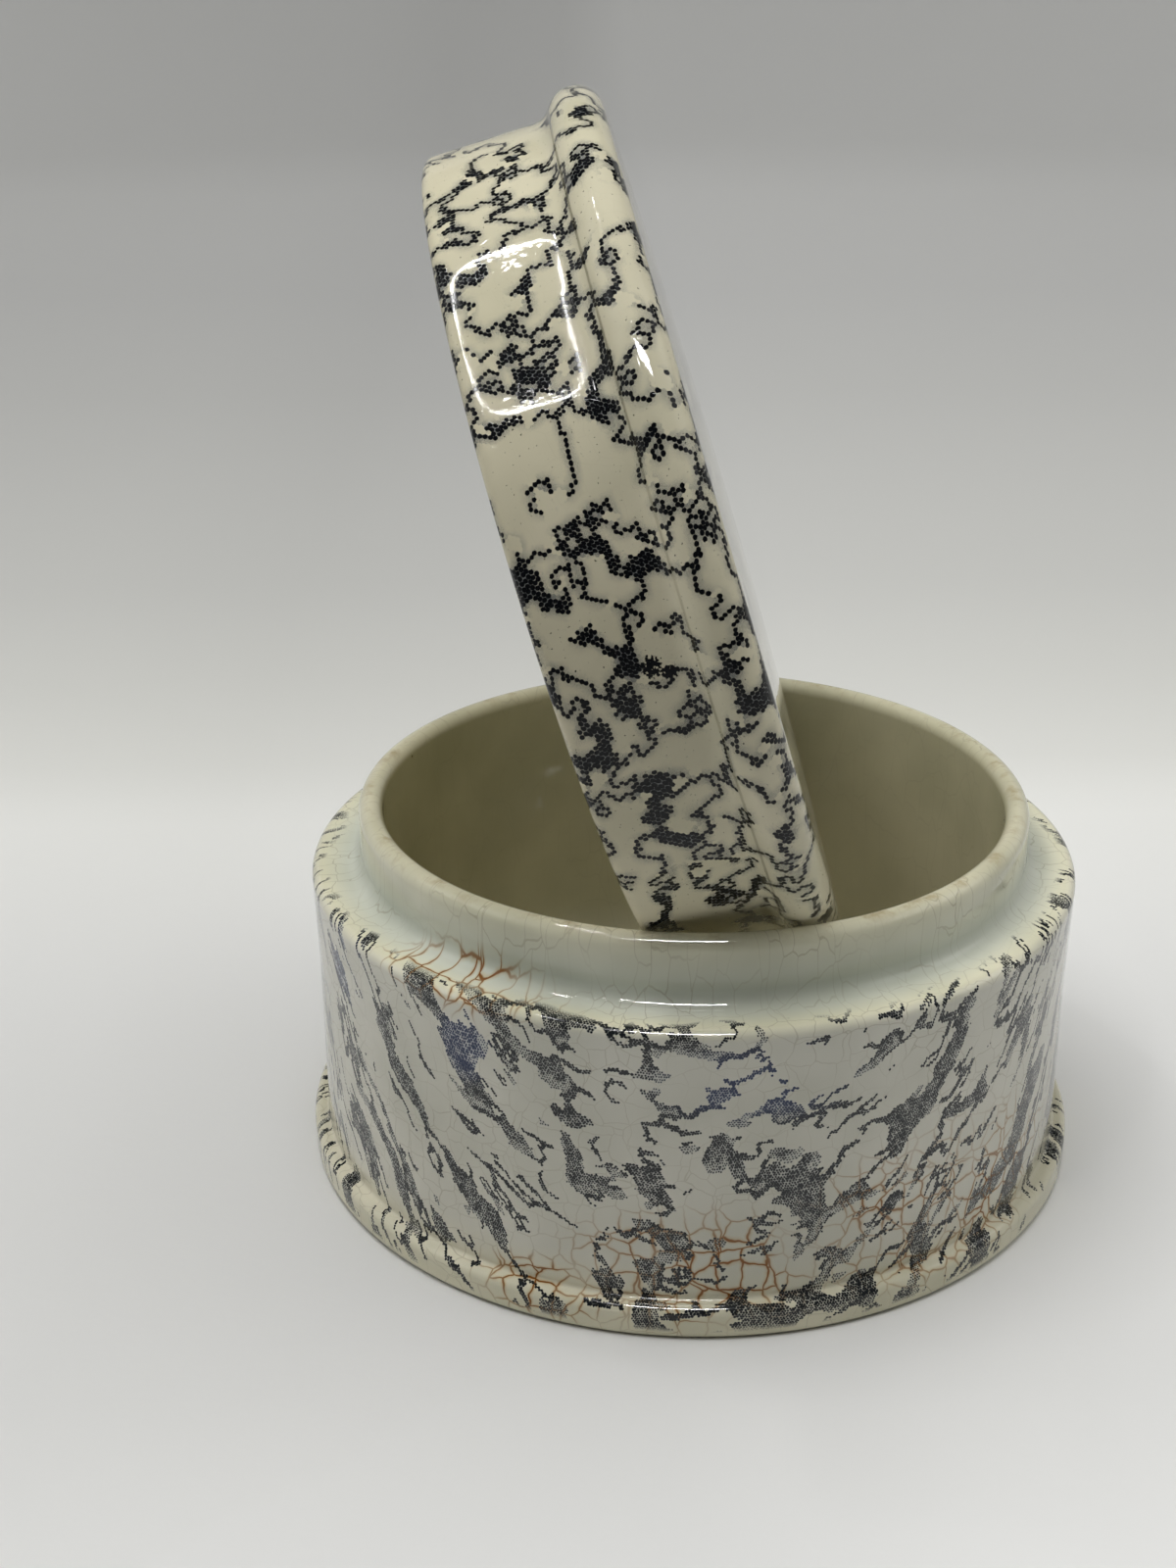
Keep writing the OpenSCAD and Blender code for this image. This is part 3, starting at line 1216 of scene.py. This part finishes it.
@dataclass
class Lid:
    """The lid: hollow cap, straight skirt, cove, round bead and shallow crown. Sizes in millimetres."""

    inner_r: float = 38.3
    skirt_r: float = 43.3
    skirt_round: float = 1.1
    bead_middle_r: float = 42.8
    bead_round: float = 2.9
    bead_z: float = 15.9
    cove: float = 2.4
    cove_z: float = 11.464
    rim_h: float = 18.8
    crown: float = 0.9
    hollow_h: float = 14.6
    inner_round: float = 3.5
    edge: float = 0.5
    lean: float = 16.8
    stand_x: float = 0.176
    stand_z: float = 71.465
    steps: int = 256
    rings: int = 30

    def place(self) -> Matrix:
        """Place the lid where it stands on edge in the mouth.

        Returns:
            Its place in the frame.
        """
        stand = Matrix.Translation(Vector((self.stand_x, 0, self.stand_z)) * MM)
        tilt = Matrix.Rotation(math.radians(90 - self.lean), 4, "Y")
        return stand @ tilt @ Matrix.Translation((0, 0, -self.bead_z * MM))

    def outline(self) -> Outline:
        """Draw the half-section.

        Returns:
            Outline from the middle of the hollow round the open edge to the middle of the top.
        """
        line = Outline()
        inner = self.inner_r - self.inner_round
        skirt = self.skirt_r - self.skirt_round
        cove_r = self.skirt_r + self.cove
        meet = math.degrees(math.atan2(self.bead_z - self.cove_z, self.bead_middle_r - cove_r))
        line.point(0, self.hollow_h)
        line.cover(Lay.FLAT, shift=500)
        line.line(inner, self.hollow_h)
        line.arc(inner, self.hollow_h - self.inner_round, self.inner_round, 90, 0, steps=10)
        line.cover(Lay.AROUND, self.inner_r)
        line.line(self.inner_r, self.edge)
        line.arc(self.inner_r + self.edge, self.edge, self.edge, 180, 270, steps=5)
        line.cover(Lay.AROUND, self.skirt_r)
        line.line(skirt, 0)
        line.arc(skirt, self.skirt_round, self.skirt_round, -90, 0, steps=8)
        line.line(self.skirt_r, self.cove_z)
        line.arc(cove_r, self.cove_z, self.cove, 180, meet, steps=10)
        line.arc(self.bead_middle_r, self.bead_z, self.bead_round, meet - 180, 90, steps=24)
        line.cover(Lay.FLAT, shift=600)
        for i in range(1, self.rings + 1):
            r = self.bead_middle_r * (1 - i / self.rings)
            line.point(r, self.rim_h + self.crown * (1 - (r / self.bead_middle_r) ** 2))
        return line

    def build(self) -> bpy.types.Object:
        """Build and dress the lid.

        Returns:
            The lid's object.
        """
        outline = self.outline()
        edge = next(s.start for s in outline.sheets if s.radius == self.skirt_r)
        top = outline.sheets[-1].start
        log.info("lid outline: edge %.1f, top %.1f, length %.1f", edge, top, outline.length)
        piece = turned("lid_cap", outline, self.steps, self.place())
        finish = PrintedGlaze(
            name="lead_glaze_over_meander_printed_earthenware",
            print_kind=MeanderPrint(
                smudges=(Spot(-2.1, edge + 13.4, 1.3, 1.2), Spot(-1.2, edge + 14.8, 0.9, 1.2)),
            ),
            ground=(
                (0.0, "#BDB79A"),
                (edge, "#CFC8AD"),
                (edge + 4, "#D4CDB3"),
                (top, "#D6D0B7"),
                (outline.length, "#D0CCB8"),
            ),
            print_from=edge + 0.4,
            print_to=outline.length + 2,
            ink="#0D0F12",
            halo_colour="#4C545E",
            halo_strength=0.85,
            specks=Specks(spacing=6, radius=0.16, share=0.4),
            craze=Craze(line=0.025, shown=(0.04, 0.22), quiet_from=-10.0),
            gloss=0.2,
        )
        piece.data.materials.append(finish.make())
        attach(piece, "lid")
        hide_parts("lid")
        log.info("%s: %d faces", piece.name, len(piece.data.polygons))
        return piece


@dataclass
class Studio:
    """Pale sweep all round with painted shade on its floor, soft light from above, and the lamps that the
    glaze mirrors. Millimetres.
    """

    floor_r: float = 900.0
    sweep_r: float = 300.0
    wall_h: float = 600.0
    sweep_step: float = 40.0
    sweep_turn: int = 96
    paper_roughness: float = 0.8
    fibre_size: float = 1.5
    fibre_height: float = 0.1
    fibre_strength: float = 0.2
    # Painted shade: the floor is dark far in front, darker near the pot's front and far behind, and
    # lightest just behind the pot and up the far wall, standing in for light falloff and shadows.
    floor_tones_painted_shade: Tones = (
        (-900, "#6C6C6C"), (-330, "#727272"), (-190, "#D8D8D6"), (-80, "#E9E9E7"), (-50, "#E3E3E1"),
        (-14, "#E6E6E4"), (32, "#ECECEA"), (85, "#F0F0EC"), (105, "#E6E6E1"), (141, "#DDDDD8"),
        (196, "#D5D5D1"), (364, "#D3D3D0"), (503, "#D9D9D7"), (718, "#ECECEA"), (1095, "#FAFAF8"),
    )
    # Painted shadow: across X the floor darkens beside the pot's left and front.
    side_tones_painted_shadow: Tones = (
        (-400, "#FFFFFF"), (-110, "#F4F4F4"), (-65, "#EFEFEF"), (-5, "#F2F2F2"), (30, "#FFFFFF"),
    )
    sky_tones: Tones = (
        (-1.0, "#202020"), (-0.45, "#262626"), (-0.25, "#F4F4F2"), (0.25, "#FFFFFD"), (0.45, "#303030"),
        (1.0, "#282828"),
    )
    sky_top: str = "#656564"
    sky_rise: tuple[float, float] = (0.68, 0.82)
    sky_strength: float = 1.3
    lamp_z: float = 300.0
    lamp_x: tuple[float, float] = (-107.0, -84.8)
    lamp_y: tuple[float, float] = (-176.0, 36.0)
    lamp_corner: tuple[float, float] = (6.0, 26.0)
    lamp_corner_steps: int = 6
    lamp_slant: float = 0.025
    side_width: float = 0.4
    end_width: float = 4.0
    lamp_radiance: float = 100.0
    glints: tuple[tuple[float, float, float, float, int], ...] = (
        (-94.0, 34.0, 8.0, 7.0, 26), (-98.0, -172.0, 9.0, 8.0, 26),
        (-92.0, 17.0, 2.4, 9.0, 12), (-101.0, -164.0, 3.2, 13.0, 14),
    )
    glint_size: tuple[float, float] = (0.7, 2.4)
    glint_seed: int = 7
    rim_lamp_place: tuple[float, float, float] = (-20.0, -150.0, 300.0)
    rim_lamp_size: tuple[float, float] = (110.0, 26.0)
    fill_size: tuple[float, float] = (60.0, 222.0)
    fill_gap: float = 10.0
    fill_power: float = 0.105
    overhead_place: tuple[float, float, float] = (0.0, 20.0, 800.0)
    overhead_size: tuple[float, float] = (600.0, 600.0)
    overhead_power: float = 3.17
    side_size: tuple[float, float] = (450.0, 450.0)
    left_place: tuple[float, float, float] = (-700.0, 100.0, 700.0)
    left_power: float = 0.7
    right_place: tuple[float, float, float] = (700.0, 0.0, 700.0)
    right_power: float = 0.8
    aim: tuple[float, float, float] = (0.0, 0.0, 50.0)
    camera_place: tuple[float, float, float] = (-15.32, -220.07, 137.65)
    camera_target: tuple[float, float, float] = (-11.37, 6.99, 38.73)
    camera_roll: float = -0.356
    camera_lens: float = 50.0
    camera_sensor: float = 36.0
    camera_near: float = 10.0

    def sweep(self) -> bpy.types.Object:
        """Build the floor, which curves up into a wall all round.

        Returns:
            The staged sweep.
        """
        line = Outline(step=self.sweep_step)
        line.point(0, 0)
        line.cover(Lay.FLAT)
        line.line(self.floor_r, 0)
        line.arc(self.floor_r, self.sweep_r, self.sweep_r, -90, 0, steps=16)
        line.line(self.floor_r + self.sweep_r, self.wall_h)
        piece = turned("studio_sweep", line, self.sweep_turn, Matrix.Identity(4))
        piece.data.flip_normals()
        piece.data.materials.append(self.paper())
        return piece

    def paper(self) -> bpy.types.Material:
        """Make the sweep's matt paper: pale where the camera looks, with painted shade and painted light
        falloff across the floor, and a very fine fibre.

        Returns:
            The material.
        """
        material = new_material("matt_paper_sweep_painted_shade")
        tree = material.node_tree
        space = add(tree, "TexCoord", {}).outputs["Object"]
        place = add(tree, "SeparateXYZ", {0: space})
        # Painted shade: the tones by depth and across X multiply into the paper's colour.
        deep = toned(tree, place.outputs["Y"], self.floor_tones_painted_shade, MM)
        across = toned(tree, place.outputs["X"], self.side_tones_painted_shadow, MM)
        tone = blend(tree, 1.0, deep, across, "MULTIPLY")
        fibre = noise(tree, space, self.fibre_size, detail=3.0, dimensions="3D")
        fibres = {"Strength": self.fibre_strength, "Distance": self.fibre_height * MM, "Height": fibre}
        bump = add(tree, "Bump", fibres)
        inputs = {"Base Color": tone, "Roughness": self.paper_roughness, "Normal": bump}
        add(tree, "OutputMaterial", {"Surface": add(tree, "BsdfPrincipled", inputs)})
        return material

    def panel(
        self, name: str, place: tuple[float, float, float], size: tuple[float, float], power: float,
        aim: tuple[float, float, float] | None = None,
    ) -> bpy.types.Object:
        """Hang one flat light.

        Args:
            name: Name of the light.
            place: Its middle.
            size: Its size along X and Y.
            power: Its power in watts.
            aim: Point that it faces. Without one it shines straight down.

        Returns:
            The light's object.
        """
        light = bpy.data.lights.new(name, "AREA")
        light.shape = "RECTANGLE"
        light.size = size[0] * MM
        light.size_y = size[1] * MM
        light.energy = power
        piece = bpy.data.objects.new(name, light)
        piece.location = Vector(place) * MM
        if aim:
            piece.rotation_euler = (Vector(aim) - Vector(place)).to_track_quat("-Z", "Y").to_euler()
        bpy.context.scene.collection.objects.link(piece)
        return piece

    def lamp_path(self) -> list[Vector]:
        """Corners of the lamp's outline, a long rectangle with rounded corners.

        Returns:
            Its corners in order, in millimetres.
        """
        steps = self.lamp_corner_steps
        middle = Vector((sum(self.lamp_x) / 2, sum(self.lamp_y) / 2))
        half = Vector((self.lamp_x[1] - self.lamp_x[0], self.lamp_y[1] - self.lamp_y[0])) / 2
        corner = Vector(self.lamp_corner)
        path = []
        for quarter, (sign_x, sign_y) in enumerate(((1, 1), (-1, 1), (-1, -1), (1, -1))):
            for i in range(steps + 1):
                angle = (quarter + i / steps) * math.pi / 2
                out = sign_y * (half.y - corner.y) + corner.y * math.sin(angle)
                across = sign_x * (half.x - corner.x) + corner.x * math.cos(angle)
                path.append(Vector((middle.x + across + self.lamp_slant * out, middle.y + out)))
        return path

    def radiant_power(self, size: tuple[float, float]) -> float:
        """Power that gives a panel of some size the lamp's radiance."""
        return self.lamp_radiance * math.pi * size[0] * size[1] * MM * MM

    def lamp(self) -> None:
        """Hang what the glaze mirrors: the lamp's bright outline, its glints and a lamp for the rims."""
        path = self.lamp_path()
        for i, (start, end) in enumerate(zip(path, path[1:] + path[:1])):
            run = end - start
            across = abs(run.x) / run.length
            size = (run.length, self.side_width + (self.end_width - self.side_width) * across ** 2)
            middle = (start + end) / 2
            power = self.radiant_power(size)
            strip = self.panel(f"lamp_{i:02d}", (middle.x, middle.y, self.lamp_z), size, power)
            strip.rotation_euler.z = math.atan2(run.y, run.x)
        chance = random.Random(self.glint_seed)
        for x, y, wide, high, count in self.glints:
            for _ in range(count):
                place = (x + chance.uniform(-wide, wide), y + chance.uniform(-high, high), self.lamp_z)
                self.panel("glint", place, self.glint_size, self.radiant_power(self.glint_size))
        rim_power = self.radiant_power(self.rim_lamp_size)
        rim_lamp = self.panel("rim_lamp", self.rim_lamp_place, self.rim_lamp_size, rim_power)
        rim_lamp.visible_diffuse = False

    def light(self) -> None:
        """Hang the soft lights, which the glaze doesn't mirror, and the lamp, and set the sky."""
        middle = (sum(self.lamp_x) / 2, sum(self.lamp_y) / 2, self.lamp_z + self.fill_gap)
        for light in (
            self.panel("overhead_panel", self.overhead_place, self.overhead_size, self.overhead_power),
            self.panel("left_panel", self.left_place, self.side_size, self.left_power, self.aim),
            self.panel("right_panel", self.right_place, self.side_size, self.right_power, self.aim),
            self.panel("lamp_fill", middle, self.fill_size, self.fill_power),
        ):
            light.visible_glossy = False
        self.lamp()
        world = bpy.data.worlds.new("soft_room")
        world.use_nodes = True
        tree = world.node_tree
        way = add(tree, "SeparateXYZ", {0: add(tree, "TexCoord", {}).outputs["Generated"]})
        above = remap(tree, way.outputs["Z"], *self.sky_rise)
        tone = blend(tree, above, toned(tree, way.outputs["Y"], self.sky_tones), self.sky_top)
        backdrop = tree.nodes["Background"]
        backdrop.inputs["Strength"].default_value = self.sky_strength
        tree.links.new(result_of(tone), backdrop.inputs["Color"])
        bpy.context.scene.world = world

    def camera(self) -> None:
        """Set the camera where the photograph was taken from."""
        place = Vector(self.camera_place) * MM
        target = Vector(self.camera_target) * MM
        roll = math.radians(self.camera_roll)
        view = bpy.data.cameras.new("camera")
        view.lens = self.camera_lens
        view.sensor_width = self.camera_sensor
        view.clip_start = self.camera_near * MM
        piece = bpy.data.objects.new("camera", view)
        turn = (target - place).to_track_quat("-Z", "Y").to_matrix().to_4x4()
        piece.matrix_world = Matrix.Translation(place) @ turn @ Matrix.Rotation(roll, 4, "Z")
        bpy.context.scene.collection.objects.link(piece)
        bpy.context.scene.camera = piece


def main() -> None:
    """Build the studio and both pieces, and report them."""
    logging.basicConfig(level=logging.INFO, format="%(message)s")
    bpy.context.scene.view_settings.view_transform = "Standard"
    studio = Studio()
    studio.camera()
    studio.sweep()
    studio.light()
    Pot().build()
    Lid().build()


if __name__ == "__main__":
    main()
